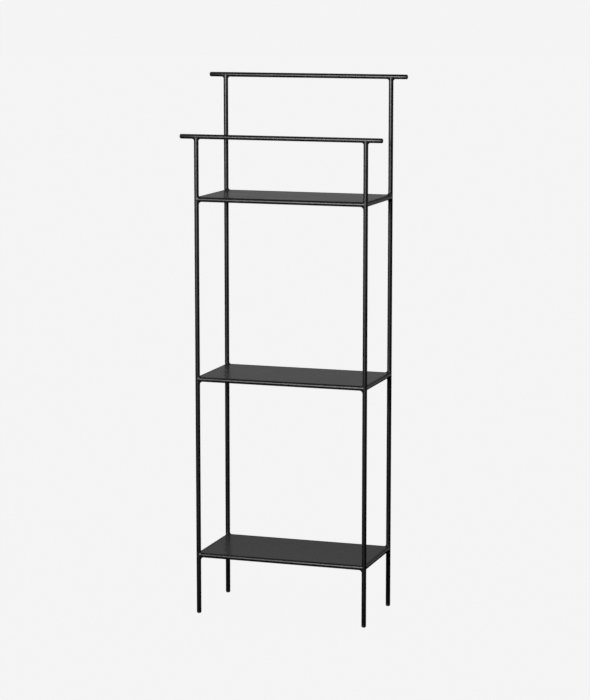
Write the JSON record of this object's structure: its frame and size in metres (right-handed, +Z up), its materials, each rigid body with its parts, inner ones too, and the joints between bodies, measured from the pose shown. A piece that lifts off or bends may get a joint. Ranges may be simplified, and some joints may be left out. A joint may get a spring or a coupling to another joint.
{
  "type": "valet stand",
  "caption": "Tall slim welded valet stand of round black steel tube, with sheet shelves, a low front rail and a higher rear rail that overhang the posts.",
  "frame": {"origin": "on the floor, midway between the four posts", "axes": "+X to the right along the rails, +Y to the rear where the high rail is, +Z up"},
  "size_m": [0.538, 0.234, 1.4],
  "materials": {
    "frame_coat": "satin black powder coat with a very fine texture",
    "plate_coat": "satin black powder coat with a very fine texture on flat sheet",
    "cap_plastic": "moulded black plastic, satin",
    "glide_plastic": "moulded black plastic, matte, scuffed where it meets the floor"
  },
  "bodies": {
    "root": {"rail_front": "frame_coat", "post_front_left": "frame_coat", "rail_fillets_front_left": "frame_coat", "rail_cap_front_left": "cap_plastic", "foot_glide_front_left": "glide_plastic", "post_front_right": "frame_coat", "rail_fillets_front_right": "frame_coat", "rail_cap_front_right": "cap_plastic", "foot_glide_front_right": "glide_plastic", "rail_rear": "frame_coat", "post_rear_left": "frame_coat", "rail_fillets_rear_left": "frame_coat", "rail_cap_rear_left": "cap_plastic", "foot_glide_rear_left": "glide_plastic", "post_rear_right": "frame_coat", "rail_fillets_rear_right": "frame_coat", "rail_cap_rear_right": "cap_plastic", "foot_glide_rear_right": "glide_plastic", "shelf_bottom_bar_front": "frame_coat", "shelf_bottom_bar_rear": "frame_coat", "shelf_bottom_bar_left": "frame_coat", "shelf_bottom_bar_right": "frame_coat", "shelf_bottom_fillets_front_left": "frame_coat", "shelf_bottom_fillets_front_right": "frame_coat", "shelf_bottom_fillets_rear_left": "frame_coat", "shelf_bottom_fillets_rear_right": "frame_coat", "shelf_bottom_plate": "plate_coat", "shelf_bottom_stitch_welds": "frame_coat", "shelf_middle_bar_front": "frame_coat", "shelf_middle_bar_rear": "frame_coat", "shelf_middle_bar_left": "frame_coat", "shelf_middle_bar_right": "frame_coat", "shelf_middle_fillets_front_left": "frame_coat", "shelf_middle_fillets_front_right": "frame_coat", "shelf_middle_fillets_rear_left": "frame_coat", "shelf_middle_fillets_rear_right": "frame_coat", "shelf_middle_plate": "plate_coat", "shelf_middle_stitch_welds": "frame_coat", "shelf_top_bar_front": "frame_coat", "shelf_top_bar_rear": "frame_coat", "shelf_top_bar_left": "frame_coat", "shelf_top_bar_right": "frame_coat", "shelf_top_fillets_front_left": "frame_coat", "shelf_top_fillets_front_right": "frame_coat", "shelf_top_fillets_rear_left": "frame_coat", "shelf_top_fillets_rear_right": "frame_coat", "shelf_top_plate": "plate_coat", "shelf_top_stitch_welds": "frame_coat"}
  },
  "joints": []
}
